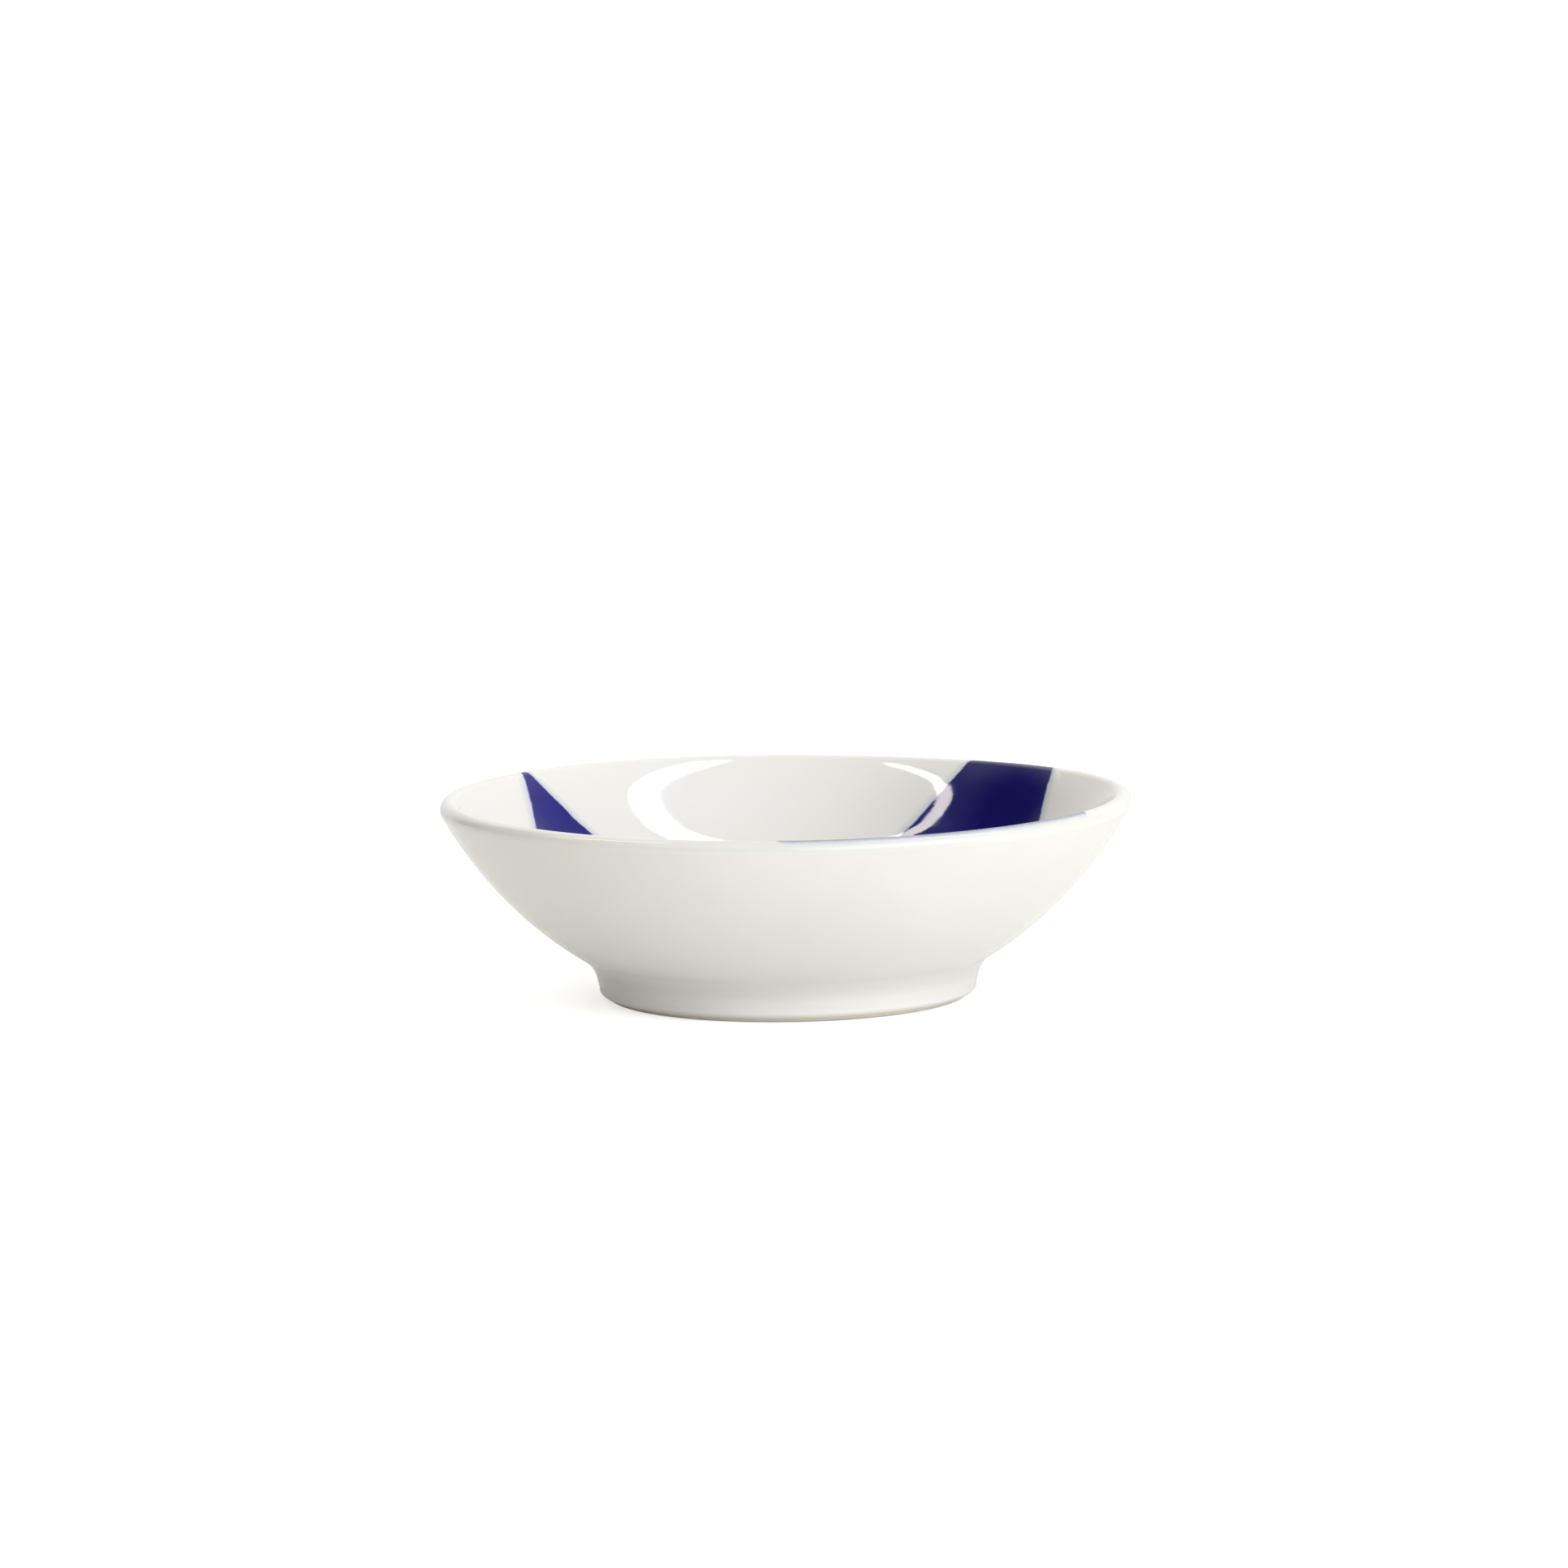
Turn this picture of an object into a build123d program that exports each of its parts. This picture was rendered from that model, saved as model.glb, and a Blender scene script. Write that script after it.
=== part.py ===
"""Soy sauce dish: a small porcelain bowl on a luted foot ring, glazed, with a cobalt field inside.

Every piece is turned about Z from one half section, drawn in the XZ plane. The dish stands on its
foot at Z = 0. The section is a chain of tangent lines and arcs on fixed centres, so the glaze
surface is the biscuit surface with the same centres and other radii.
"""

import os
from math import acos, asin, atan2, cos, degrees, hypot, radians, sin, sqrt, tan

from build123d import *

# Driving dimensions, in millimetres and degrees

rim_diameter = 90.0  # outermost, over the glaze
height = 26.4  # table to the crest of the lip, over the glaze
lip_thickness = 2.5  # full round lip, over the glaze
wall_sweep = 52.0  # radius of the outside of the wall, over the glaze
lip_inside_lean = 43.0  # slope of the inside, from level, where the lip round ends
flare_sweep = 32.5  # radius of the flare below the lip round, over the glaze
wall_inside_lean = 51.0  # steepest slope of the inside, where the flare turns hollow
wall_inside_sweep = 170.0  # radius of the hollow wall below that, over the glaze
well_sweep = 25.5  # radius of the lower part of the inside, over the glaze
floor_thickness = 3.7  # biscuit
glaze_thickness = 0.3

foot_diameter = 47.8  # foot side carried straight down to the table, biscuit
foot_height = 4.9  # table to the corner where foot side and wall would meet
foot_taper = 13.5  # foot side, from upright, narrower at the table
foot_fillet = 4.7  # hollow between wall and foot side
foot_outer_radius = 1.9
foot_inner_radius = 1.2
land_width = 1.6  # flat ring that stands on the table
foot_inner_taper = 10.0  # inner face of the foot ring, from upright
foot_well_fillet = 1.2
glaze_line = 0.7  # glaze stops this far above the table

# White reserves left round the cobalt field: bearing of each from +X, how far it
# reaches in from the crest of the lip, and the radius of its edge
back_reserve_bearing = 98.9
back_reserve_depth = 17.5
back_reserve_radius = 94.0
left_reserve_bearing = 179.1
left_reserve_depth = 11.9
left_reserve_radius = 97.0
front_reserve_bearing = 240.0
front_reserve_depth = 9.0
front_reserve_radius = 58.5
right_reserve_bearing = 3.9
right_reserve_depth = 11.1
right_reserve_radius = 55.0

touching = 1e-6  # ends of the section nearer than this are one point

# Section centres and angles

lip_radius = lip_thickness / 2
lip_x = rim_diameter / 2 - lip_radius
lip_z = height - lip_radius

# Foot side: a line through (foot_diameter / 2, 0), leaning out by the taper as it rises
side_angle = -foot_taper  # bearing of its outward normal
side_normal = (cos(radians(side_angle)), sin(radians(side_angle)))
side_run = (sin(radians(foot_taper)), cos(radians(foot_taper)))
foot_radius = foot_diameter / 2

# Outside of the wall: touches the lip round from within, and runs to the foot corner
wall_biscuit = wall_sweep - glaze_thickness
corner_x = foot_radius + foot_height * tan(radians(foot_taper))
span_x = lip_x - corner_x
span_z = lip_z - foot_height
span = hypot(span_x, span_z)
to_lip = wall_sweep - lip_radius
swing = acos((wall_biscuit**2 + span**2 - to_lip**2) / (2 * wall_biscuit * span))
wall_bearing = atan2(span_z, span_x) + swing
wall_x = corner_x + wall_biscuit * cos(wall_bearing)
wall_z = foot_height + wall_biscuit * sin(wall_bearing)
lip_outer_angle = degrees(atan2(lip_z - wall_z, lip_x - wall_x))

# Hollow fillet: touches the foot side and the outside of the wall
fillet_base_x = foot_radius + foot_fillet * side_normal[0]
fillet_base_z = foot_fillet * side_normal[1]
offset_x = fillet_base_x - wall_x
offset_z = fillet_base_z - wall_z
along = offset_x * side_run[0] + offset_z * side_run[1]
reach = along**2 - offset_x**2 - offset_z**2 + (wall_biscuit + foot_fillet) ** 2
climb = -along - sqrt(reach)
fillet_x = fillet_base_x + climb * side_run[0]
fillet_z = fillet_base_z + climb * side_run[1]
fillet_side_angle = 180 + side_angle
fillet_wall_angle = degrees(atan2(wall_z - fillet_z, wall_x - fillet_x))

# The foot ring is luted on where the fillet is half way round: that plane is the flat base of the bowl
seam_angle = (fillet_side_angle + fillet_wall_angle) / 2
seat = fillet_z + foot_fillet * sin(radians(seam_angle))
floor = seat + floor_thickness

# Inside: the flare runs on from the lip round, the wall turns it hollow, and the well round
# carries the wall down to a level floor
lip_inner_angle = 90 + lip_inside_lean
turn_angle = 90 + wall_inside_lean
to_flare = flare_sweep - lip_radius
flare_x = lip_x - to_flare * cos(radians(lip_inner_angle))
flare_z = lip_z - to_flare * sin(radians(lip_inner_angle))
across = flare_sweep + wall_inside_sweep
inside_x = flare_x + across * cos(radians(turn_angle))
inside_z = flare_z + across * sin(radians(turn_angle))
well_z = floor + glaze_thickness + well_sweep
to_well = wall_inside_sweep - well_sweep
well_x = inside_x + sqrt(to_well**2 - (inside_z - well_z) ** 2)
well_wall_angle = degrees(atan2(well_z - inside_z, well_x - inside_x))

# Rounds of the foot and the land between them
land_outer_x = foot_radius - foot_outer_radius * (1 + side_normal[1]) / side_normal[0]
land_inner_x = land_outer_x - land_width
inner_angle = 180 + foot_inner_taper  # bearing of the inner face's normal
inner_normal = (cos(radians(inner_angle)), sin(radians(inner_angle)))
inner_foot_z = foot_inner_radius * (1 + inner_normal[1])
inner_rise = seat - foot_well_fillet * (1 + inner_normal[1]) - inner_foot_z
foot_well_x = (
    land_inner_x
    + (foot_inner_radius + foot_well_fillet) * inner_normal[0]
    - inner_rise * tan(radians(foot_inner_taper))
)
foot_well_z = seat - foot_well_fillet

glaze_outer_angle = -degrees(asin(1 - glaze_line / foot_outer_radius))
glaze_inner_angle = 180 + degrees(asin(1 - glaze_line / foot_inner_radius))


# Section drawing


def on_round(x, z, radius, angle):
    """Point of the section at a bearing on a round."""
    return Vector(x + radius * cos(radians(angle)), 0, z + radius * sin(radians(angle)))


def arc(x, z, radius, start, end):
    """Arc of a round from one bearing to another, the way that the bearings run."""
    stops = (start, (start + end) / 2, end)
    return ThreePointArc(*(on_round(x, z, radius, angle) for angle in stops))


def foot_outside(skin, start):
    """Foot from a bearing on its outer round up to the seam, at a skin's thickness off the biscuit."""
    outer = foot_outer_radius + skin
    hollow = foot_fillet - skin
    low = on_round(land_outer_x, foot_outer_radius, outer, side_angle)
    high = on_round(fillet_x, fillet_z, hollow, fillet_side_angle)
    return [
        arc(land_outer_x, foot_outer_radius, outer, start, side_angle),
        Line(low, high),
        arc(fillet_x, fillet_z, hollow, fillet_side_angle, seam_angle),
    ]


def wall_outside(skin):
    """Seam to the crest of the lip."""
    return [
        arc(fillet_x, fillet_z, foot_fillet - skin, seam_angle, fillet_wall_angle),
        arc(wall_x, wall_z, wall_biscuit + skin, fillet_wall_angle - 180, lip_outer_angle),
        arc(lip_x, lip_z, lip_radius - glaze_thickness + skin, lip_outer_angle, 90),
    ]


def well_inside(skin):
    """Crest of the lip to the middle of the floor."""
    level = floor + skin
    deeper = glaze_thickness - skin
    return [
        arc(lip_x, lip_z, lip_radius - deeper, 90, lip_inner_angle),
        arc(flare_x, flare_z, flare_sweep - deeper, lip_inner_angle, turn_angle),
        arc(inside_x, inside_z, wall_inside_sweep + deeper, turn_angle - 180, well_wall_angle),
        arc(well_x, well_z, well_sweep + deeper, well_wall_angle, -90),
        Line(Vector(well_x, 0, level), Vector(0, 0, level)),
    ]


def foot_inside(skin, start):
    """Foot well, from a bearing on the inner round of the foot to where its fillet meets the base."""
    inner = foot_inner_radius + skin
    hollow = foot_well_fillet - skin
    low = on_round(land_inner_x, foot_inner_radius, inner, inner_angle)
    high = on_round(foot_well_x, foot_well_z, hollow, foot_inner_taper)
    return [
        arc(land_inner_x, foot_inner_radius, inner, start, inner_angle),
        Line(low, high),
        arc(foot_well_x, foot_well_z, hollow, foot_inner_taper, 90),
    ]


def base_under(skin, start):
    """Flat underside of the floor, from a point of the section to the axis."""
    return [Line(start, Vector(0, 0, seat - skin))]


def turned(over, under):
    """Solid of revolution of the section between two chains of edges that run the same way."""
    ends = [(over[0] @ 0, under[0] @ 0), (over[-1] @ 1, under[-1] @ 1)]
    joins = [Line(first, last) for first, last in ends if (first - last).length > touching]
    return revolve(make_face(Wire([*over, *under, *joins])), Axis.Z)


# Pieces


def make_bowl_body():
    """Biscuit bowl with a flat base: wall, lip and floor."""
    over = [*wall_outside(0), *well_inside(0)]
    return turned(over, base_under(0, over[0] @ 0))


def make_foot_ring():
    """Biscuit foot ring, luted under the flat base; its land is the face that stands on the table."""
    return turned(foot_outside(0, -90), foot_inside(0, 270))


def make_glaze_layer():
    """Glaze over the outside, the lip and the inside, from the glaze line on the foot."""
    over = [
        *foot_outside(glaze_thickness, glaze_outer_angle),
        *wall_outside(glaze_thickness),
        *well_inside(glaze_thickness),
    ]
    under = [*foot_outside(0, glaze_outer_angle), *wall_outside(0), *well_inside(0)]
    return turned(over, under)


def make_foot_well_glaze():
    """Glaze inside the foot ring, from the glaze line to the middle of the base."""
    over = foot_inside(glaze_thickness, glaze_inner_angle)
    under = foot_inside(0, glaze_inner_angle)
    over += base_under(glaze_thickness, over[-1] @ 1)
    under += base_under(0, under[-1] @ 1)
    return turned(over, under)


def well_layer(low, high):
    """Layer over the inside as far as the crest of the lip, between two heights off the biscuit."""
    return turned(well_inside(high), well_inside(low))


def make_cobalt_block():
    """Upright block with the outline of the cobalt field: a disc with a round bite for each reserve."""
    reserves = (
        (back_reserve_bearing, back_reserve_depth, back_reserve_radius),
        (left_reserve_bearing, left_reserve_depth, left_reserve_radius),
        (front_reserve_bearing, front_reserve_depth, front_reserve_radius),
        (right_reserve_bearing, right_reserve_depth, right_reserve_radius),
    )
    outline = Sketch() + Circle(rim_diameter)
    for bearing, depth, radius in reserves:
        outline -= PolarLocations(lip_x - depth + radius, 1, bearing) * Circle(radius)
    return Pos(Z=seat) * extrude(outline, height)


def main():
    block = make_cobalt_block()
    window = well_layer(-glaze_thickness, 2 * glaze_thickness) & block
    pieces = {
        "bowl_body": make_bowl_body(),
        "foot_ring": make_foot_ring(),
        "glaze_coat": make_glaze_layer() - window,
        "foot_well_glaze": make_foot_well_glaze(),
        "cobalt_field": well_layer(0, glaze_thickness) & block,
    }
    os.makedirs("parts", exist_ok=True)
    for name, piece in pieces.items():
        export_step(piece, f"parts/{name}.step")
        print(name, len(piece.solids()), "solid", round(piece.volume, 1), "mm3")
    print("seat", round(seat, 3), "floor", round(floor, 3), "level floor across", round(2 * well_x, 2))


main()
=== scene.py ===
import math

import bpy
import numpy as np
from mathutils import Matrix, Vector


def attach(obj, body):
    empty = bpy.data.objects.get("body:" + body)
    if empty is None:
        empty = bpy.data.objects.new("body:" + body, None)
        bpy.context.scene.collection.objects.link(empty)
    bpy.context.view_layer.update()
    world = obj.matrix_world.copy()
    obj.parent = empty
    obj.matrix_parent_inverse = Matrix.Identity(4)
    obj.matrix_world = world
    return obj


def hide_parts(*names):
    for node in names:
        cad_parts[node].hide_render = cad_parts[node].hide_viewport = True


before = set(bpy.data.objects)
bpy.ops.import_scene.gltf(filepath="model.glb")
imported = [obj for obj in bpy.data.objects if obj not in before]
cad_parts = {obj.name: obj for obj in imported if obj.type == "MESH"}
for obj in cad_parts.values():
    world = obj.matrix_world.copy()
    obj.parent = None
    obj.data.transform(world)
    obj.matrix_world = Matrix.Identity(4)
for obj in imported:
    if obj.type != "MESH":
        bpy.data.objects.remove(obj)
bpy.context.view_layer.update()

mm = 0.001
print("frame loaded:", sorted(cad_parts))


# section of the dish, in millimetres and degrees: radius out from the axis and height over the table

dishSizes = {
    "rim": 90.0, "height": 26.4, "lip": 2.5, "wallSweep": 52.0, "floorThick": 3.7, "glaze": 0.3,
    "lipLean": 43.0, "flareSweep": 32.5, "wallLean": 51.0, "insideSweep": 170.0, "wellSweep": 25.5,
    "foot": 47.8, "footHeight": 4.9, "footTaper": 13.5, "footFillet": 4.7, "footOuter": 1.9,
    "footInner": 1.2, "land": 1.6, "innerTaper": 10.0, "wellFillet": 1.2, "glazeLine": 0.7,
}
runRows = {  # rows along each run of the section, at a fineness of 1
    "footRound": 8, "footSide": 5, "footHollow": 14, "wall": 24, "lipOut": 16,
    "lipIn": 10, "flare": 9, "insideWall": 9, "well": 20, "floor": 6,
    "footWellBase": 10, "footWellHollow": 8, "footWellSide": 4, "innerRound": 8,
}
handMade = {
    "rimSaddle": 0.16, "backWave": 0.24, "oval": 0.0010, "threeLobed": 0.0005, "turn": 0.35, "calm": 22.0,
    "soften": 1.5, "softenStep": 0.05,
}
onePoint, onAxis = 1e-6, 1e-9  # points closer than this are one, and a radius below this lies on the axis


# third corner of a triangle, from two corners and its distances from them: the near corner plus the near side
# times (cos, sin) of the bearing to the far corner turned by the angle that the cosine rule gives
def thirdCorner(nearPoint, nearSide, farPoint, farSide):
    gap = farPoint - nearPoint
    span = np.hypot(*gap)
    swing = math.acos((nearSide**2 + span**2 - farSide**2) / (2 * nearSide * span))
    bearing = math.atan2(gap[1], gap[0]) + swing
    return nearPoint + nearSide * np.array([math.cos(bearing), math.sin(bearing)])


def bearingTo(start, end):
    return math.degrees(math.atan2(end[1] - start[1], end[0] - start[0]))


def towards(bearing):
    return np.array([math.cos(math.radians(bearing)), math.sin(math.radians(bearing))])


# centres and bearings of the rounds that make up the section, each touching the next
def workOutSection(s):
    lipR, footR, wallR = s["lip"] / 2, s["foot"] / 2, s["wallSweep"] - s["glaze"]
    lip = np.array([s["rim"] / 2 - lipR, s["height"] - lipR])
    taper = math.radians(s["footTaper"])
    out = np.array([math.cos(taper), -math.sin(taper)])  # outward from the foot side
    up = np.array([math.sin(taper), math.cos(taper)])  # up along the foot side
    corner = np.array([footR + s["footHeight"] * math.tan(taper), s["footHeight"]])
    wall = thirdCorner(corner, wallR, lip, s["wallSweep"] - lipR)
    base = np.array([footR, 0.0]) + s["footFillet"] * out
    along = float((base - wall) @ up)
    apart = float((base - wall) @ (base - wall))
    climb = -along - math.sqrt(along**2 - apart + (wallR + s["footFillet"]) ** 2)
    fillet = base + climb * up
    filletSide, filletWall = 180 - s["footTaper"], bearingTo(fillet, wall)
    seam = (filletSide + filletWall) / 2
    seat = fillet[1] + s["footFillet"] * math.sin(math.radians(seam))
    floor = seat + s["floorThick"]
    lipIn, turn = 90 + s["lipLean"], 90 + s["wallLean"]
    flare = lip - (s["flareSweep"] - lipR) * towards(lipIn)
    inside = flare + (s["flareSweep"] + s["insideSweep"]) * towards(turn)
    wellZ = floor + s["glaze"] + s["wellSweep"]
    toWell = s["insideSweep"] - s["wellSweep"]
    well = np.array([inside[0] + math.sqrt(toWell**2 - (inside[1] - wellZ) ** 2), wellZ])
    landOut = footR - s["footOuter"] * (1 - math.sin(taper)) / math.cos(taper)
    landIn = landOut - s["land"]
    lean = math.radians(180 + s["innerTaper"])
    low = s["footInner"] * (1 + math.sin(lean))
    rise = seat - s["wellFillet"] * (1 + math.sin(lean)) - low
    inward = (s["footInner"] + s["wellFillet"]) * math.cos(lean)
    footWell = landIn + inward - rise * math.tan(math.radians(s["innerTaper"]))
    return dict(
        lip=lip, lipR=lipR, lipIn=lipIn, lipOut=bearingTo(wall, lip), wall=wall, wallR=wallR,
        fillet=fillet, filletSide=filletSide, filletWall=filletWall, seam=seam, seat=seat, floor=floor,
        flare=flare, turn=turn, inside=inside, well=well, wellWall=bearingTo(inside, well),
        landOut=landOut, landIn=landIn, footWell=footWell,
        glazeOut=-math.degrees(math.asin(1 - s["glazeLine"] / s["footOuter"])),
        glazeIn=180 + math.degrees(math.asin(1 - s["glazeLine"] / s["footInner"])),
    )


section = workOutSection(dishSizes)


# points of a round between two bearings: centre plus radius times (cos, sin)
def roundRun(centre, radius, start, end, count):
    bearing = np.radians(np.linspace(start, end, count))
    return np.stack([centre[0] + radius * np.cos(bearing), centre[1] + radius * np.sin(bearing)], 1)


def straightRun(start, end, count):
    step = np.linspace(0, 1, count)[:, None]
    return np.asarray(start)[None] * (1 - step) + np.asarray(end)[None] * step


# runs set end to end, with the points that two runs share kept once
def joinRuns(*runs):
    path = np.concatenate(runs)
    keep = np.r_[True, np.hypot(*np.diff(path, axis=0).T) > onePoint]
    return path[keep]


# way walked along a path to each of its points: the running sum of its steps
def walkedAlong(path):
    return np.r_[0, np.cumsum(np.hypot(*np.diff(path, axis=0).T))]


# run whose turning is spread out as a thrown curve's is: the lean of each short step is averaged with its
# neighbours, weighted by exp(-(distance / reach)^2 / 2) as far as three reaches off, the steps are set end to
# end again, and the miss at the end is shared out
def softened(path, reach, step):
    walked = walkedAlong(path)
    even = np.linspace(0, walked[-1], int(walked[-1] / step) + 1)
    line = np.stack([np.interp(even, walked, path[:, axis]) for axis in (0, 1)], 1)
    stride = np.diff(line, axis=0)
    lean = np.unwrap(np.arctan2(stride[:, 1], stride[:, 0]))
    wide = int(3 * reach / step)
    weight = np.exp(-0.5 * (np.arange(-wide, wide + 1) * step / reach) ** 2)
    padded = np.pad(lean, wide, mode="reflect", reflect_type="odd")
    lean = np.convolve(padded, weight / weight.sum(), "valid")
    stride = np.stack([np.cos(lean), np.sin(lean)], 1) * (even[1] - even[0])
    soft = line[0] + np.vstack([[0.0, 0.0], np.cumsum(stride, axis=0)])
    soft = soft + (line[-1] - soft[-1]) * (even / even[-1])[:, None]
    return np.stack([np.interp(walked, even, soft[:, axis]) for axis in (0, 1)], 1)


# outside from a bearing on the foot's round to the crest of the lip, at a skin's thickness off the clay
def outsideRun(skin, start, fine):
    s, c, rows = dishSizes, section, {run: fine * count for run, count in runRows.items()}
    footRound = np.array([c["landOut"], s["footOuter"]])
    low = roundRun(footRound, s["footOuter"] + skin, start, -s["footTaper"], rows["footRound"])
    hollow = roundRun(c["fillet"], s["footFillet"] - skin, c["filletSide"], c["filletWall"], rows["footHollow"])
    side = straightRun(low[-1], hollow[0], rows["footSide"])
    wall = roundRun(c["wall"], c["wallR"] + skin, c["filletWall"] - 180, c["lipOut"], rows["wall"])
    crest = roundRun(c["lip"], c["lipR"] - s["glaze"] + skin, c["lipOut"], 90, rows["lipOut"])
    return joinRuns(low, side, hollow, wall, crest)


# inside from the crest of the lip to the middle of the floor
def insideRun(skin, fine):
    s, c, rows = dishSizes, section, {run: fine * count for run, count in runRows.items()}
    deeper = s["glaze"] - skin
    crest = roundRun(c["lip"], c["lipR"] - deeper, 90, c["lipIn"], rows["lipIn"])
    flare = roundRun(c["flare"], s["flareSweep"] - deeper, c["lipIn"], c["turn"], rows["flare"])
    upper = roundRun(c["inside"], s["insideSweep"] + deeper, c["turn"] - 180, c["wellWall"], rows["insideWall"])
    lower = roundRun(c["well"], s["wellSweep"] + deeper, c["wellWall"], -90, rows["well"])
    floor = straightRun(lower[-1], (0.0, c["floor"] + skin), rows["floor"])
    bowl = joinRuns(flare, upper, lower, floor)
    return joinRuns(crest, softened(bowl, handMade["soften"], handMade["softenStep"]))


# foot well from the middle of the base out and down to a bearing on the foot's inner round
def footWellRun(skin, end, fine):
    s, c, rows = dishSizes, section, {run: fine * count for run, count in runRows.items()}
    corner, innerRound = (c["footWell"], c["seat"] - s["wellFillet"]), (c["landIn"], s["footInner"])
    hollow = roundRun(corner, s["wellFillet"] - skin, 90, s["innerTaper"], rows["footWellHollow"])
    low = roundRun(innerRound, s["footInner"] + skin, 180 + s["innerTaper"], end, rows["innerRound"])
    base = straightRun((0.0, c["seat"] - skin), hollow[0], rows["footWellBase"])
    return joinRuns(base, hollow, straightRun(hollow[-1], low[0], rows["footWellSide"]), low)


# hand-made unevenness, in millimetres, which fades out downwards as (height / full height)^2 and towards the
# axis as (radius / calm)^2: the rim rises at the sides and dips at front and back by saddle * cos(2 angle), its
# back rolls by back wave * sin(2 angle) * sin(angle), and the round goes very slightly oval and three-lobed
def uneven(x, y, z):
    h, angle = handMade, np.arctan2(y, x)
    share = (np.clip(z / dishSizes["height"], 0, 1) * np.clip(np.hypot(x, y) / h["calm"], 0, 1)) ** 2
    lobes = h["oval"] * np.cos(2 * angle + h["turn"]) + h["threeLobed"] * np.cos(3 * angle)
    roll = h["backWave"] * np.sin(2 * angle) * np.clip(np.sin(angle), 0, 1)
    swell = 1 + share * lobes
    return x * swell, y * swell, z + share * (h["rimSaddle"] * np.cos(2 * angle) - roll)


# closed mesh from a grid of rows (along the section) by columns (round the axis): each row is one turn.
# A first or last row on the axis becomes one pole vertex; without poles the last row joins the first
def turnedMesh(name, radius, height, angle, extras):
    rows, columns = radius.shape
    startPole, endPole = radius[0].max() < onAxis, radius[-1].max() < onAxis
    ring = slice(1 if startPole else 0, rows - 1 if endPole else rows)
    poles = [row for row, isPole in ((0, startPole), (rows - 1, endPole)) if isPole]
    grids = [radius * np.cos(angle), radius * np.sin(angle), height]
    poleValues = [[0.0 for row in poles], [0.0 for row in poles], [height[row, 0] for row in poles]]
    flat = [np.r_[grid[ring].ravel(), atPoles] for grid, atPoles in zip(grids, poleValues)]
    points = np.stack(uneven(*flat), 1) * mm
    count = ring.stop - ring.start
    index = np.arange(count * columns).reshape(count, columns)
    ahead = np.roll(index, -1, 1)
    if not poles:
        index, ahead = np.vstack([index, index[:1]]), np.vstack([ahead, ahead[:1]])
    quads = np.stack([index[:-1], ahead[:-1], ahead[1:], index[1:]], -1).reshape(-1, 4).tolist()
    fans = []
    if startPole:
        pole = np.full(columns, count * columns)
        fans += np.stack([pole, ahead[0], index[0]], 1).tolist()
    if endPole:
        pole = np.full(columns, count * columns + len(poles) - 1)
        fans += np.stack([index[-1], ahead[-1], pole], 1).tolist()
    mesh = bpy.data.meshes.new(name)
    mesh.from_pydata(points.tolist(), [], quads + fans)
    mesh.polygons.foreach_set("use_smooth", np.ones(len(mesh.polygons), bool))
    for label, grid in extras.items():
        values = np.r_[grid[ring].ravel(), [grid[row, 0] for row in poles]]
        mesh.attributes.new(label, "FLOAT", "POINT").data.foreach_set("value", values.astype(np.float32))
    mesh.update()
    piece = bpy.data.objects.new(name, mesh)
    bpy.context.scene.collection.objects.link(piece)
    return piece


def roundAngles(columns):
    return np.linspace(0, 2 * np.pi, columns, endpoint=False)[None]


# piece turned from one path: every column has the path's radius and height
def turnedPiece(name, path, columns, extras):
    wide = np.ones((1, columns))
    grids = {label: values.reshape(len(path), -1) * wide for label, values in extras.items()}
    return turnedMesh(name, path[:, :1] * wide, path[:, 1:] * wide, roundAngles(columns), grids)


def place(piece, node, material):
    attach(piece, "root")
    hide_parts(node)
    piece.data.materials.append(material)
    print("piece", piece.name, "faces", len(piece.data.polygons))


# short names for setting up shader nodes

def newTree(name):
    material = bpy.data.materials.new(name)
    material.use_nodes = True
    material.node_tree.nodes.clear()
    return material, material.node_tree


def add(tree, kind, **settings):
    node = tree.nodes.new(kind)
    for key, value in settings.items():
        setattr(node, key, value)
    return node


def link(tree, start, end):
    tree.links.new(start, end)


def output(tree, shader, kind="ShaderNodeOutputMaterial"):
    link(tree, shader.outputs[0], add(tree, kind).inputs["Surface"])


# value moved from one range to another, kept inside it
def ranged(tree, value, low, high, start=0.0, end=1.0, smooth=True):
    ease = "SMOOTHSTEP" if smooth else "LINEAR"
    node = add(tree, "ShaderNodeMapRange", interpolation_type=ease, clamp=True)
    for key, number in (("From Min", low), ("From Max", high), ("To Min", start), ("To Max", end)):
        node.inputs[key].default_value = number
    link(tree, value, node.inputs["Value"])
    return node.outputs["Result"]


def maths(tree, first, second, kind="ADD"):
    node = add(tree, "ShaderNodeMath", operation=kind)
    for socket, value in zip(node.inputs, (first, second)):
        if hasattr(value, "links"):
            link(tree, value, socket)
        else:
            socket.default_value = value
    return node.outputs[0]


def mixed(tree, factor, first, second):
    node = add(tree, "ShaderNodeMix", data_type="RGBA", blend_type="MIX", clamp_factor=True)
    link(tree, factor, node.inputs[0])
    for socket, value in ((node.inputs[6], first), (node.inputs[7], second)):
        if hasattr(value, "links"):
            link(tree, value, socket)
        else:
            socket.default_value = (*value, 1.0)
    return node.outputs[2]


def objectPlace(tree):
    return add(tree, "ShaderNodeTexCoord").outputs["Object"]


def noise(tree, scale, detail, rough=0.5):
    node = add(tree, "ShaderNodeTexNoise", noise_dimensions="3D")
    for key, number in (("Scale", scale), ("Detail", detail), ("Roughness", rough)):
        node.inputs[key].default_value = number
    link(tree, objectPlace(tree), node.inputs["Vector"])
    return node.outputs[0]


def carried(tree, label):
    return add(tree, "ShaderNodeAttribute", attribute_name=label, attribute_type="GEOMETRY").outputs["Fac"]


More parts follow.
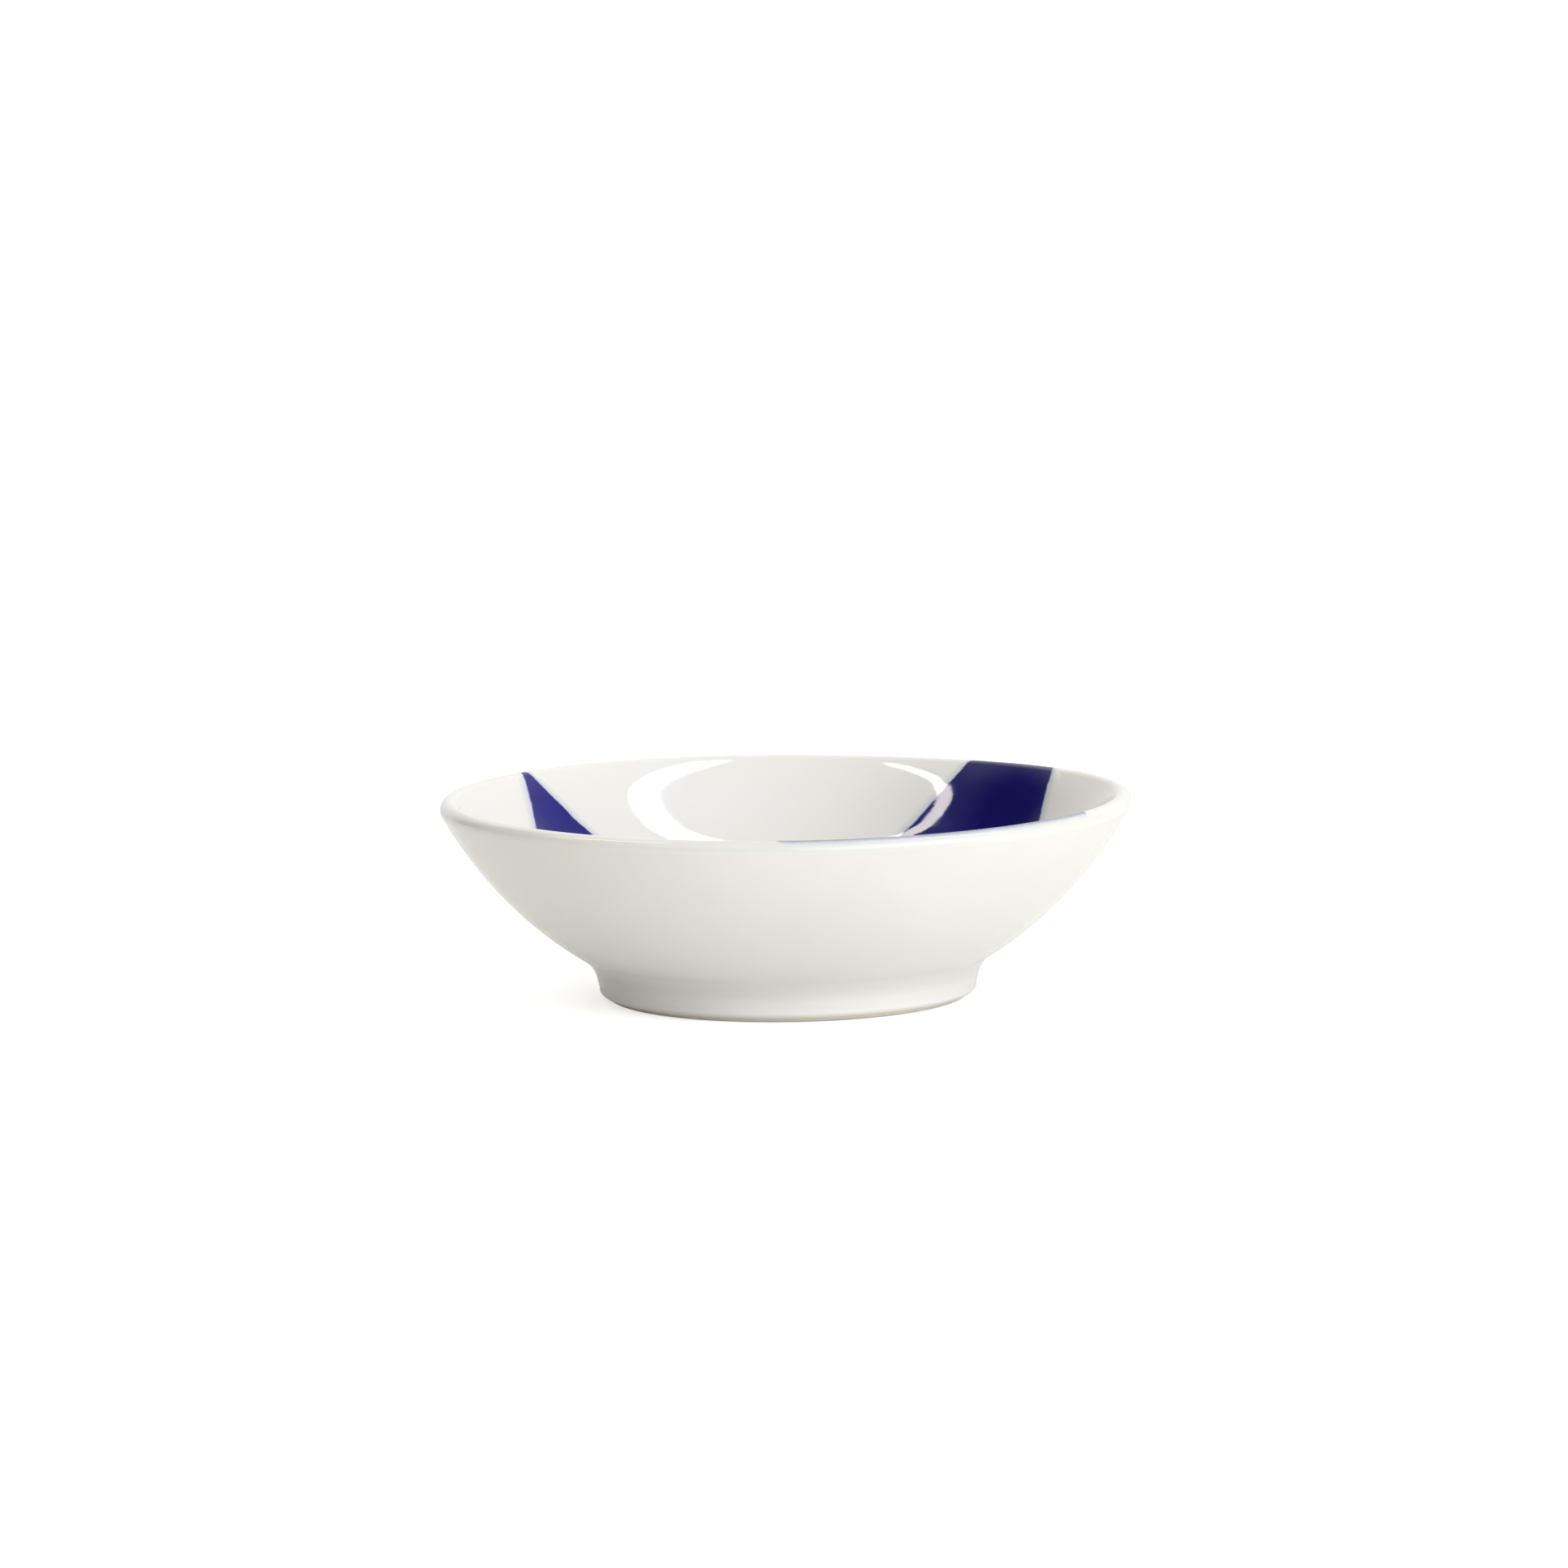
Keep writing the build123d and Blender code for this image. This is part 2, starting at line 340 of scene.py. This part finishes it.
def bumped(tree, height, distance, normal=None):
    node = add(tree, "ShaderNodeBump")
    node.inputs["Distance"].default_value = distance
    node.inputs["Strength"].default_value = 1.0
    link(tree, height, node.inputs["Height"])
    if normal is not None:
        link(tree, normal, node.inputs["Normal"])
    return node.outputs["Normal"]


# glazed white porcelain

glazeLook = {  # a noise is given by its scale, its detail and, where it is not 0.5, its roughness
    # the grey is the colour of the painted shade over the front of the lip; the pool colour is the pooled
    # glaze's tint, darkened as painted shade
    "white": (0.842, 0.824, 0.765), "cloud": (0.802, 0.79, 0.73), "poolTintAndShade": (0.70, 0.70, 0.645),
    "thin": (0.80, 0.765, 0.70), "frontLipShade": (0.66, 0.66, 0.63), "speck": (0.30, 0.25, 0.20),
    "cloudNoise": (32.0, 3.0), "cloudRange": (0.35, 0.7),
    "speckScale": 95.0, "speckSize": 0.012, "speckFade": 2.2, "speckChance": (0.90, 0.96), "speckShare": 0.8,
    "roughNoise": (240.0, 2.0), "roughRange": (0.3, 0.7), "rough": (0.03, 0.065), "bending": 1.5,
    "waveNoise": (70.0, 1.0), "waveDepth": 0.000035, "peelNoise": (900.0, 1.0), "peelDepth": 0.0000022,
}


# colour of the fired white: cloudy at the scale of the dish, with rare fine dark specks
def whiteColour(tree, look):
    cloud = ranged(tree, noise(tree, *look["cloudNoise"]), *look["cloudRange"])
    colour = mixed(tree, cloud, look["white"], look["cloud"])
    cells = add(tree, "ShaderNodeTexVoronoi", feature="F1")
    cells.inputs["Scale"].default_value = look["speckScale"]
    link(tree, objectPlace(tree), cells.inputs["Vector"])
    chance = add(tree, "ShaderNodeSeparateColor")
    link(tree, cells.outputs["Color"], chance.inputs[0])
    rare = ranged(tree, chance.outputs[0], *look["speckChance"])
    size = look["speckSize"]
    dot = ranged(tree, cells.outputs["Distance"], size, size * look["speckFade"], 1.0, 0.0)
    speck = maths(tree, maths(tree, rare, dot, "MULTIPLY"), look["speckShare"], "MULTIPLY")
    return mixed(tree, speck, colour, look["speck"])


# surface of the fired glaze: slow waves and a fine orange peel, so that reflections are not ruled straight
def glazeSurface(tree, look):
    waves = bumped(tree, noise(tree, *look["waveNoise"]), look["waveDepth"])
    return bumped(tree, noise(tree, *look["peelNoise"]), look["peelDepth"], waves)


def glossShader(tree, look, colour):
    shader = add(tree, "ShaderNodeBsdfPrincipled")
    shader.inputs["IOR"].default_value = look["bending"]
    rough = ranged(tree, noise(tree, *look["roughNoise"]), *look["roughRange"], *look["rough"])
    link(tree, colour, shader.inputs["Base Color"])
    link(tree, rough, shader.inputs["Roughness"])
    link(tree, glazeSurface(tree, look), shader.inputs["Normal"])
    output(tree, shader)


# white glaze: a little greener where it pools, darkened there as painted shade, warmer where it thins, and
# darkened towards grey over the front of the lip as painted shade
def whiteGlaze(name, look):
    material, tree = newTree(name)
    pooledAndShaded = mixed(tree, carried(tree, "poolTintAndShade"), whiteColour(tree, look), look["poolTintAndShade"])
    worn = mixed(tree, carried(tree, "thin"), pooledAndShaded, look["thin"])
    glossShader(tree, look, mixed(tree, carried(tree, "frontLipShade"), worn, look["frontLipShade"]))
    return material


glazedWhite = whiteGlaze("glazed_white", glazeLook)
beadLook = {"crown": 0.9, "crownSpread": 0.35}  # shares of the bead's length


# glaze that ends in a soft bead: with share the way from its end over the bead's length, its thickness grows as
# the quarter round sqrt(1 - (1 - share)^2), times 1 + swell * exp(-((share - crown) / spread)^2)
def beadEnd(over, under, length, swell):
    share = walkedAlong(over) / length
    crown = np.exp(-(((share - beadLook["crown"]) / beadLook["crownSpread"]) ** 2))
    body = np.sqrt(1 - (1 - np.clip(share, 0, 1)) ** 2) * (1 + swell * crown)
    return under + (over - under) * body[:, None]


# how near the glaze's lower edge a height lies: exp(-(height over the glaze line) / fade)
def glazeEdge(height, fade):
    return np.exp(-np.clip(height - dishSizes["glazeLine"], 0, None) / fade)


# look of the painted shade over the front of the lip
frontLipShadeLook = {"most": 0.75, "bearing": 283.0, "spread": 34.0, "start": 2.2, "full": 0.7, "crestHalf": 0.3}


# painted shade: the coat is darkened towards grey over the front of the lip, where the lamps' highlight falls:
# most * smooth climb to the crest * step out over the crest * exp(-((bearing - middle) / spread)^2)
def paintedFrontLipShade(radius, height, angle):
    look = frontLipShadeLook
    front = np.exp(-(((np.degrees(angle) - look["bearing"]) / look["spread"]) ** 2))
    climb = np.clip((height - dishSizes["height"] + look["start"]) / (look["start"] - look["full"]), 0, 1)
    outer = np.clip((radius - section["lip"][0] + look["crestHalf"]) / (2 * look["crestHalf"]), 0, 1)
    return look["most"] * climb**2 * (3 - 2 * climb) * outer * front


glazeCoatLook = {
    "columns": 320, "fine": 2, "hiddenStep": 3, "bead": 0.9, "swell": 0.25,
    "poolTintAndShade": 0.55, "poolDrop": 0.6, "poolSpread": 1.3, "poolReach": 27.0,
    "thinCrest": 0.10, "crestDepth": 0.9, "thinEdge": 0.60, "edgeFade": 0.25,
}


def makeGlazeCoat():
    look, g, start = glazeCoatLook, dishSizes["glaze"], section["glazeOut"]
    outside, clay = outsideRun(g, start, look["fine"]), outsideRun(0.0, start, look["fine"])
    over = joinRuns(beadEnd(outside, clay, look["bead"], look["swell"]), insideRun(g, look["fine"]))
    under = joinRuns(outsideRun(0.0, start, 1), insideRun(0.0, 1))[::-1]
    path = joinRuns(under[::look["hiddenStep"]], under[-1:], over)  # the hidden side needs few rows
    radius, height = path[:, :1], path[:, 1:]
    # where the glaze pools in the hollow of the foot: tinted a little greener, and darkened there as painted
    # shade
    hollow = np.exp(-(((height - section["seat"] + look["poolDrop"]) / look["poolSpread"]) ** 2))
    hollow = hollow * (radius > section["landOut"]) * (radius < look["poolReach"])
    crest = np.clip((height - dishSizes["height"] + look["crestDepth"]) / look["crestDepth"], 0, 1) ** 2
    edge = glazeEdge(height, look["edgeFade"]) * (radius > section["landIn"])
    extras = {
        "poolTintAndShade": look["poolTintAndShade"] * hollow,
        "thin": look["thinCrest"] * crest + look["thinEdge"] * edge,
        # painted shade over the front of the lip
        "frontLipShade": paintedFrontLipShade(radius, height, roundAngles(look["columns"])),
    }
    piece = turnedPiece("glaze_coat_skin", path, look["columns"], extras)
    place(piece, "glaze_coat", glazedWhite)


footWellLook = {
    "columns": 256, "fine": 2, "bead": 0.7, "swell": 0.2,
    "poolTintAndShade": 0.6, "poolOut": 0.7, "poolSpread": 1.0, "thinEdge": 0.75, "edgeFade": 0.25,
}


def makeFootWellGlaze():
    look, g, end = footWellLook, dishSizes["glaze"], section["glazeIn"]
    over, clay = footWellRun(g, end, look["fine"])[::-1], footWellRun(0.0, end, look["fine"])[::-1]
    over = beadEnd(over, clay, look["bead"], look["swell"])[::-1]
    path = joinRuns(over, footWellRun(0.0, end, 1)[::-1])
    radius, height = path[:, :1], path[:, 1:]
    # where the glaze pools in the corner of the foot well: tinted a little greener, and darkened there as
    # painted shade
    corner = np.exp(-(((radius - section["footWell"] - look["poolOut"]) / look["poolSpread"]) ** 2))
    edge = glazeEdge(height, look["edgeFade"]) * (radius > section["footWell"])
    extras = {"poolTintAndShade": look["poolTintAndShade"] * corner, "thin": look["thinEdge"] * edge, "frontLipShade": 0 * edge}
    piece = turnedPiece("foot_well_glaze_skin", path, look["columns"], extras)
    place(piece, "foot_well_glaze", glazedWhite)


# biscuit: bare porcelain, seen only on the land of the foot

biscuitLook = {
    "clay": (0.80, 0.76, 0.67), "pale": (0.84, 0.81, 0.73),
    "flash": (0.80, 0.68, 0.50), "grit": (0.50, 0.42, 0.33),
    "paleNoise": (420.0, 4.0), "paleRange": (0.35, 0.7),
    "gritNoise": (2600.0, 1.0), "gritRange": (0.70, 0.78), "gritShare": 0.6,
    "flashNoise": (260.0, 3.0), "flashRange": (0.25, 0.7), "flashShare": (0.55, 1.0),
    "flashHeight": 0.62, "flashSpread": 0.32,
    "roughNoise": (900.0, 2.0), "roughRange": (0.3, 0.7), "rough": (0.62, 0.82),
    "grainNoise": (1900.0, 4.0, 0.65), "grainDepth": 0.00003,
}


# bare clay: fine grit, and a tan flash that follows the edge of the glaze
def biscuitMaterial(look):
    material, tree = newTree("bare_biscuit")
    pale = ranged(tree, noise(tree, *look["paleNoise"]), *look["paleRange"])
    colour = mixed(tree, pale, look["clay"], look["pale"])
    grit = ranged(tree, noise(tree, *look["gritNoise"]), *look["gritRange"])
    colour = mixed(tree, maths(tree, grit, look["gritShare"], "MULTIPLY"), colour, look["grit"])
    patchy = ranged(tree, noise(tree, *look["flashNoise"]), *look["flashRange"], *look["flashShare"])
    colour = mixed(tree, maths(tree, carried(tree, "flash"), patchy, "MULTIPLY"), colour, look["flash"])
    rough = ranged(tree, noise(tree, *look["roughNoise"]), *look["roughRange"], *look["rough"])
    shader = add(tree, "ShaderNodeBsdfPrincipled")
    link(tree, colour, shader.inputs["Base Color"])
    link(tree, rough, shader.inputs["Roughness"])
    link(tree, bumped(tree, noise(tree, *look["grainNoise"]), look["grainDepth"]), shader.inputs["Normal"])
    output(tree, shader)
    return material


bareBiscuit = biscuitMaterial(biscuitLook)


# point in the hollow of the foot where the bowl and the foot ring are joined
def seamPoint():
    return roundRun(section["fillet"], dishSizes["footFillet"], section["seam"], section["seam"], 1)


bowlLook = {"columns": 192, "fine": 1, "baseRows": 12}


def makeBowlBiscuit():
    look = bowlLook
    rim = outsideRun(0.0, section["glazeOut"], look["fine"])
    rim = rim[rim[:, 1] > section["seat"]]
    base = straightRun((0.0, section["seat"]), seamPoint()[0], look["baseRows"])
    path = joinRuns(base, rim, insideRun(0.0, look["fine"]))
    piece = turnedPiece("bowl_biscuit", path, look["columns"], {"flash": 0 * path[:, 0]})
    place(piece, "bowl_body", bareBiscuit)


footRingLook = {"columns": 384, "fine": 2, "seatRows": 8, "landRows": 8}


# ring about the foot well: its side and hollow, the flat seat under the bowl, the well's side and the land.
# The flash is exp(-((height - its middle) / spread)^2)
def makeFootRing():
    look = footRingLook
    outer = outsideRun(0.0, -90, look["fine"])
    outer = outer[outer[:, 1] < section["seat"]]
    inner = footWellRun(0.0, 270, look["fine"])
    inner = inner[inner[:, 0] >= section["footWell"] - onePoint]
    seam = seamPoint()
    seat = straightRun(seam[0], inner[0], look["seatRows"])[1:-1]
    land = straightRun(inner[-1], outer[0], look["landRows"])[1:-1]
    path = joinRuns(outer, seam, seat, inner, land)
    flash = np.exp(-(((path[:, 1] - biscuitLook["flashHeight"]) / biscuitLook["flashSpread"]) ** 2))
    piece = turnedPiece("foot_ring_biscuit", path, look["columns"], {"flash": flash})
    place(piece, "foot_ring", bareBiscuit)


# cobalt field inside the dish: lengths in millimetres, but metres for the wash

cobaltLook = {
    # deep and lively blues, then the greyer blue of a painted reflection near the crest of the lip
    "deep": (0.0060, 0.0060, 0.110), "lively": (0.0125, 0.0125, 0.205), "lipSkyReflection": (0.030, 0.025, 0.080),
    "halo": (0.56, 0.60, 0.685),
    "reserves": (  # bearing, depth inside the crest, radius
        (98.9, 17.5, 94.0), (179.1, 11.9, 97.0), (240.0, 9.0, 58.5), (3.9, 11.1, 55.0),
    ),
    "margin": 1.7, "overLip": 1.14, "proud": 0.012, "sunk": 0.25,
    "columns": 420, "rows": 170, "crowding": 1.7, "underRows": 20, "fine": 4, "crestFrom": 22, "crestRows": 30,
    "runs": ((139.0, 0.55), (213.0, -1.2), (331.0, -1.5)),  # bearing, how far the edge strays beside the lip
    "runSpread": 0.16, "runStart": 3.2, "runClimb": 3.0, "runEase": 1.5,
    "raggedNoise": (850.0, 3.0, 0.6), "ragged": (-0.10, 0.10),
    "slowNoise": (190.0, 2.0), "slow": (-0.12, 0.12), "strayRange": (0.2, 0.8),
    "mottleNoise": (520.0, 4.0, 0.62), "cloudNoise": (90.0, 2.0),
    "mottleRange": (0.0, 0.5), "mottle": (0.13, 0.37),
    "washRange": (0.030, -0.030), "wash": (-0.075, 0.06), "livelyRange": (0.14, 0.36),
    "lipSkyReflectionRange": (0.95, 0.1), "wallRange": (-0.30, 0.30), "haloRange": (-1.25, 0.0), "haloShare": 0.72,
    "bleedRange": (-1.14, -0.55), "bleedShare": 0.85, "bleedEdge": (-0.10, 0.60), "bleedLip": (0.9, 0.2),
    "edgeRange": (-0.14, 0.24), "lipFade": (-0.92, 0.30),
}


# white reserves as rounds: bearing of the middle, its distance from the axis, and the radius
def reserveRounds(look):
    crest = section["lip"][0]
    return [(math.radians(bearing), crest - depth + radius, radius)
            for bearing, depth, radius in look["reserves"]]


# distance past the edge of the nearest white reserve: from its middle, less its radius, positive in the blue
def pastReserves(x, y, look):
    return np.min([np.hypot(x - away * math.cos(bearing), y - away * math.sin(bearing)) - radius
                   for bearing, away, radius in reserveRounds(look)], 0)


# how far a ray from the axis goes before it leaves the field: the least of its meetings with the reserves and
# the lip, a meeting with a round being (c.d) - sqrt((c.d)^2 - c^2 + R^2)
def fieldReach(angle, look):
    reach = np.full(angle.shape, section["lip"][0] + look["overLip"])
    for bearing, away, radius in reserveRounds(look):
        facing = away * np.cos(angle - bearing)
        inside = facing**2 - away**2 + (radius - look["margin"]) ** 2
        meet = np.where((inside > 0) & (facing > 0), facing - np.sqrt(np.maximum(inside, 0)), np.inf)
        reach = np.minimum(reach, meet)
    return reach


# blue glaze: mottled, deeper towards one side, greyer at the lip as a painted reflection, with a ragged edge, a
# soft pale fringe on the white beside it and a pale run over the lip
def cobaltMaterial(look):
    material, tree = newTree("cobalt_in_glaze")
    lipInside = carried(tree, "lipInside")
    ragged = ranged(tree, noise(tree, *look["raggedNoise"]), *look["strayRange"], *look["ragged"], False)
    slow = ranged(tree, noise(tree, *look["slowNoise"]), *look["strayRange"], *look["slow"], False)
    past = maths(tree, carried(tree, "pastEdge"), carried(tree, "runDown"))
    past = maths(tree, past, maths(tree, ragged, slow))
    mottle = maths(tree, noise(tree, *look["mottleNoise"]), noise(tree, *look["cloudNoise"]), "MULTIPLY")
    mottle = ranged(tree, mottle, *look["mottleRange"], *look["mottle"], False)
    sides = add(tree, "ShaderNodeSeparateXYZ")
    link(tree, objectPlace(tree), sides.inputs[0])
    wash = ranged(tree, sides.outputs[0], *look["washRange"], *look["wash"])  # laid on thicker towards one side
    lively = ranged(tree, maths(tree, mottle, wash), *look["livelyRange"])
    blue = mixed(tree, lively, look["deep"], look["lively"])
    # painted reflection: the blue turns lighter and greyer towards the crest of the lip
    blue = mixed(tree, ranged(tree, lipInside, *look["lipSkyReflectionRange"]), blue, look["lipSkyReflection"])
    halo = ranged(tree, past, *look["haloRange"], 0.0, look["haloShare"])
    halo = maths(tree, halo, ranged(tree, lipInside, *look["wallRange"]), "MULTIPLY")
    bleed = ranged(tree, maths(tree, lipInside, slow), *look["bleedRange"], 0.0, look["bleedShare"])
    bleed = maths(tree, bleed, ranged(tree, past, *look["bleedEdge"]), "MULTIPLY")
    bleed = maths(tree, ranged(tree, lipInside, *look["bleedLip"]), bleed, "MULTIPLY")
    # white under the fringe, with the painted shade over the front of the lip
    white = mixed(tree, carried(tree, "frontLipShade"), whiteColour(tree, glazeLook), glazeLook["frontLipShade"])
    base = mixed(tree, maths(tree, halo, bleed, "MAXIMUM"), white, look["halo"])
    body = ranged(tree, past, *look["edgeRange"])
    body = maths(tree, body, ranged(tree, maths(tree, lipInside, ragged), *look["lipFade"]), "MULTIPLY")
    glossShader(tree, glazeLook, mixed(tree, body, base, blue))
    return material


# field between two layers of the inside, a little proud of the coat and sunk into it, each reaching to the edge
# of the field at every bearing. Beside the lip the edge strays by the sum of its runs, each
# by * exp(-((angle - bearing) / spread)^2), times (climb to the lip)^ease
def makeCobaltField():
    look, g, crest = cobaltLook, dishSizes["glaze"], section["lip"][0]
    angle = roundAngles(look["columns"])

    def layer(skin, share):  # radius and height at a share of the way along the section to the field's edge
        lipRound = section["lipR"] - g + skin
        crestOver = roundRun(section["lip"], lipRound, look["crestFrom"], 90, look["crestRows"])
        path = joinRuns(crestOver, insideRun(skin, look["fine"]))[::-1]
        walked = walkedAlong(path)
        along = share[:, None] * np.interp(fieldReach(angle, look), path[:, 0], walked)
        return np.interp(along, walked, path[:, 0]), np.interp(along, walked, path[:, 1])

    crowded = 1 - (1 - np.linspace(0, 1, look["rows"])) ** look["crowding"]  # rows lie closer towards the edge
    upper = layer(g + look["proud"], crowded[::-1])
    lower = layer(g * look["sunk"], np.linspace(0, 1, look["underRows"]))
    radius, height = np.vstack([lower[0], upper[0]]), np.vstack([lower[1], upper[1]])
    nearLip = np.clip((radius - crest + look["runStart"]) / look["runClimb"], 0, 1)
    stray = sum(by * np.exp(-(((angle - np.radians(bearing)) / look["runSpread"]) ** 2))
                for bearing, by in look["runs"])
    extras = {
        "pastEdge": pastReserves(radius * np.cos(angle), radius * np.sin(angle), look),
        "lipInside": crest - radius,
        "runDown": nearLip ** look["runEase"] * stray,
        # painted shade over the front of the lip
        "frontLipShade": paintedFrontLipShade(radius, height, angle),
    }
    piece = turnedMesh("cobalt_field_skin", radius, height, angle, extras)
    place(piece, "cobalt_field", cobaltMaterial(look))


makeBowlBiscuit()
makeFootRing()
makeGlazeCoat()
makeFootWellGlaze()
makeCobaltField()
print("dish made")


# floor, light and camera, in metres and degrees

studio = {
    "floor": (0.92, 0.92, 0.91), "floorEdge": 9.0, "floorShare": 0.70, "floorGlow": 0.68, "mirrorShare": 0.3,
    "patches": (  # bearing, lift, brightness
        (-45.0, 12.0, 1.43), (45.0, 12.0, 0.20), (90.0, 12.0, 0.62),
        (-90.0, 50.0, 0.91), (90.0, 50.0, 0.88), (180.0, 50.0, 0.17),
    ),
    "patchSpan": (52.0, 8.0),  # degrees from its middle at which a patch begins and is full
    "gap": (154.0, 29.0, 25.0, 13.0), "gapShare": 0.08,  # bearing, lift, and the span as above
    "front": (-50.0, 0.0, 130.0, 50.0), "frontTint": (0.935, 0.953, 1.0), "backTint": (1.0, 0.965, 0.85),
    "backdrop": (84.0, 0.0, 52.0, 32.0),
    "stripTint": (1.0, 0.92, 0.86), "lampAim": (0.0, 0.0, 0.02),
}
lamps = {  # bearing, lift, distance, width, height, brightness, colour
    "broadFront": (-52.0, 22.0, 0.90, 1.24, 0.66, 1.81, studio["frontTint"]),
    "stripRight": (2.6, 59.0, 0.80, 0.100, 0.62, 5.6, studio["stripTint"]),
    "stripLeft": (169.0, 56.0, 0.80, 0.043, 0.48, 13.9, studio["stripTint"]),
}


# 1 for the eye, and a share of that in reflections
def seenRay(tree, share):
    ray = add(tree, "ShaderNodeLightPath")
    mirrored = maths(tree, ray.outputs["Is Glossy Ray"], ray.outputs["Is Transmission Ray"], "MAXIMUM")
    return maths(tree, ray.outputs["Is Camera Ray"], maths(tree, mirrored, share, "MULTIPLY"), "MAXIMUM")


def pickBy(tree, factor, first, second):
    pick = add(tree, "ShaderNodeMixShader")
    for start, socket in zip((factor, first.outputs[0], second.outputs[0]), pick.inputs):
        link(tree, start, socket)
    return pick


# white table: plain matte for the light it throws back, lifted to white for the eye and partly in reflections
def makeFloor():
    edge = studio["floorEdge"]
    corners = [(-edge, -edge, 0.0), (edge, -edge, 0.0), (edge, edge, 0.0), (-edge, edge, 0.0)]
    mesh = bpy.data.meshes.new("table")
    mesh.from_pydata(corners, [], [(0, 1, 2, 3)])
    floor = bpy.data.objects.new("table", mesh)
    bpy.context.scene.collection.objects.link(floor)
    material, tree = newTree("tableWhite")
    matte = add(tree, "ShaderNodeBsdfDiffuse")
    matte.inputs["Color"].default_value = (*studio["floor"], 1.0)
    pale = add(tree, "ShaderNodeBsdfDiffuse")
    pale.inputs["Color"].default_value = (*(studio["floorShare"] * part for part in studio["floor"]), 1.0)
    glow = add(tree, "ShaderNodeEmission")
    glow.inputs["Strength"].default_value = studio["floorGlow"]
    lifted = add(tree, "ShaderNodeAddShader")
    link(tree, pale.outputs[0], lifted.inputs[0])
    link(tree, glow.outputs[0], lifted.inputs[1])
    output(tree, pickBy(tree, seenRay(tree, studio["mirrorShare"]), matte, lifted))
    mesh.materials.append(material)


# way to a place on the sky, from its bearing and its height over the table
def skyward(bearing, lift):
    bearing, lift = math.radians(bearing), math.radians(lift)
    return Vector((math.cos(bearing) * math.cos(lift), math.sin(bearing) * math.cos(lift), math.sin(lift)))


# soft studio all round: broad patches of light that fall off with the cosine of the angle from their middle,
# and a dark gap at the left behind. It is white for the eye, and behind the dish in reflections too
def makeWorld():
    world = bpy.data.worlds.new("studio")
    bpy.context.scene.world = world
    world.use_nodes = True
    tree = world.node_tree
    tree.nodes.clear()
    way = add(tree, "ShaderNodeTexCoord").outputs["Generated"]

    def near(bearing, lift, outer, inner, start=0.0, end=1.0):
        facing = add(tree, "ShaderNodeVectorMath", operation="DOT_PRODUCT")
        facing.inputs[1].default_value = skyward(bearing, lift)
        link(tree, way, facing.inputs[0])
        low, high = math.cos(math.radians(outer)), math.cos(math.radians(inner))
        return ranged(tree, facing.outputs["Value"], low, high, start, end)

    level = 0.0
    for bearing, lift, bright in studio["patches"]:
        level = maths(tree, level, near(bearing, lift, *studio["patchSpan"], 0.0, bright))
    level = maths(tree, level, near(*studio["gap"], 1.0, studio["gapShare"]), "MULTIPLY")
    tint = mixed(tree, near(*studio["front"]), studio["backTint"], studio["frontTint"])
    soft = add(tree, "ShaderNodeBackground")
    link(tree, tint, soft.inputs["Color"])
    link(tree, level, soft.inputs["Strength"])
    white = add(tree, "ShaderNodeBackground")
    white.inputs["Color"].default_value = (1.0, 1.0, 1.0, 1.0)
    seen = pickBy(tree, seenRay(tree, near(*studio["backdrop"])), soft, white)
    output(tree, seen, "ShaderNodeOutputWorld")


# soft light that faces the dish, set by bearing, elevation and distance
def softLight(name, bearing, lift, away, wide, tall, bright, colour):
    lamp = bpy.data.lights.new(name, "AREA")
    lamp.shape = "ELLIPSE"
    lamp.size, lamp.size_y = wide, tall
    lamp.energy = bright * math.pi * (math.pi / 4 * wide * tall)  # for a face where 1 is the white of the table
    lamp.color = colour
    back = skyward(bearing, lift)
    side = Vector((-math.sin(math.radians(bearing)), math.cos(math.radians(bearing)), 0.0))
    light = bpy.data.objects.new(name, lamp)
    turn = Matrix((side, back.cross(side), back)).transposed().to_4x4()
    light.matrix_world = Matrix.Translation(Vector(studio["lampAim"]) + back * away) @ turn
    bpy.context.scene.collection.objects.link(light)


makeFloor()
makeWorld()
for name, settings in lamps.items():
    softLight(name, *settings)
print("lights set:", sorted(lamps))

shot = {  # focal length and places in pixels of a square frame
    "away": 1.1533, "elevation": 8.05, "roll": -0.833, "target": (0.0, 0.0, 0.012),
    "focal": 10895.0, "frame": 1932, "targetPixel": (969.65, 1114.6), "sensor": 36.0, "clip": (0.05, 40.0),
}


# camera on a ray to the target, aimed off it so that the target falls on its pixel of the frame, then rolled
def makeCamera():
    camera = bpy.data.cameras.new("photo_view")
    camera.sensor_width = shot["sensor"]
    camera.lens = shot["focal"] * shot["sensor"] / shot["frame"]
    camera.clip_start, camera.clip_end = shot["clip"]
    target = Vector(shot["target"])
    lift = math.radians(shot["elevation"])
    spot = target + shot["away"] * Vector((0, -math.cos(lift), math.sin(lift)))
    ahead = (target - spot).normalized()
    side = ahead.cross(Vector((0, 0, 1))).normalized()
    up = side.cross(ahead)
    turn = math.radians(shot["roll"])
    side, up = side * math.cos(turn) + up * math.sin(turn), up * math.cos(turn) - side * math.sin(turn)
    offX, offY = (pixel - shot["frame"] / 2 for pixel in shot["targetPixel"])
    aim = (ahead - side * (offX / shot["focal"]) + up * (offY / shot["focal"])).normalized()
    side = (side - aim * side.dot(aim)).normalized()
    up = side.cross(aim)
    holder = bpy.data.objects.new("photo_view", camera)
    holder.matrix_world = Matrix.Translation(spot) @ Matrix((side, up, -aim)).transposed().to_4x4()
    bpy.context.scene.collection.objects.link(holder)
    bpy.context.scene.camera = holder


makeCamera()
bpy.context.scene.view_settings.view_transform = "Standard"

print("stage set")
